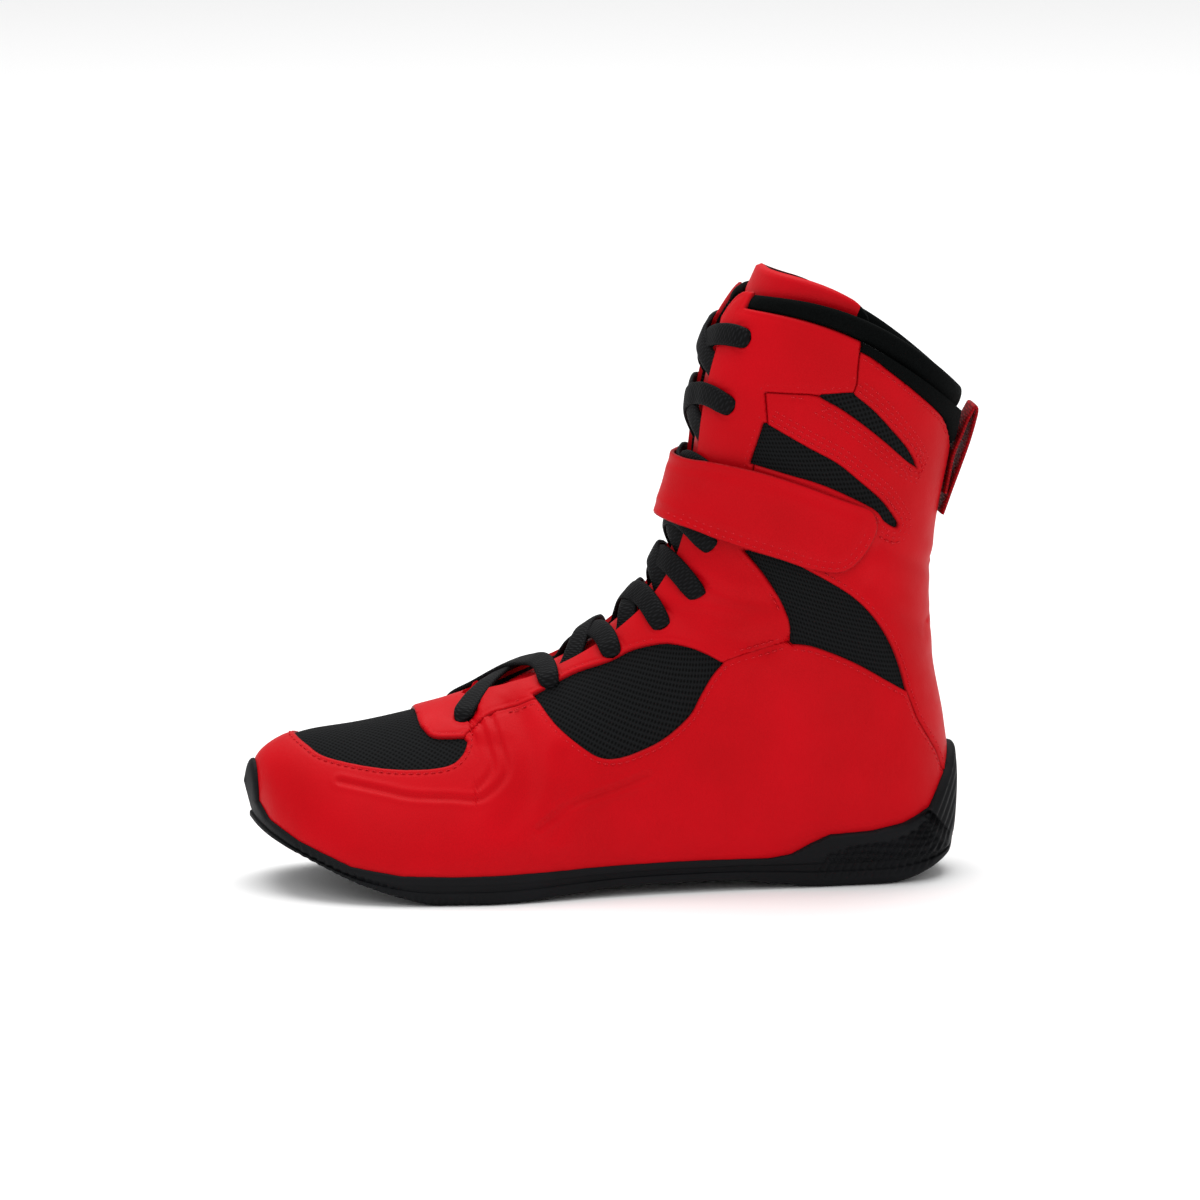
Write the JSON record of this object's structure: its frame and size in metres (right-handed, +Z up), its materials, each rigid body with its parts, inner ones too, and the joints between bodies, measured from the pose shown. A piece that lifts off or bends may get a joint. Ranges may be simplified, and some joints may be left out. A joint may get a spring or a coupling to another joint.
{
  "type": "boxing boot",
  "caption": "High laced boxing boot for the left foot: thin rubber sole with toe guard and heel cup, hollow mesh upper under red overlays, ankle strap, flat laces, padded collar and pull loop.",
  "frame": {"origin": "middle of the whole part's box, on the floor", "axes": "toe towards -X, outer side towards -Y, +Z up"},
  "size_m": [0.2982, 0.1026, 0.2514],
  "materials": {
    "rubber": "matt moulded",
    "mesh": "woven mesh",
    "lining": "brushed textile",
    "red": "smooth synthetic, satin",
    "webbing": "flat woven tape"
  },
  "bodies": {
    "root": {"outsole": "rubber", "upper": "mesh", "insole": "lining", "tongue": "red", "foot_overlay": "red", "eyestay": "red", "shaft_overlay": "red", "collar": "lining", "collar_panel": "lining", "laces": "webbing", "ankle_strap": "red", "pull_loop": "red"}
  },
  "joints": []
}
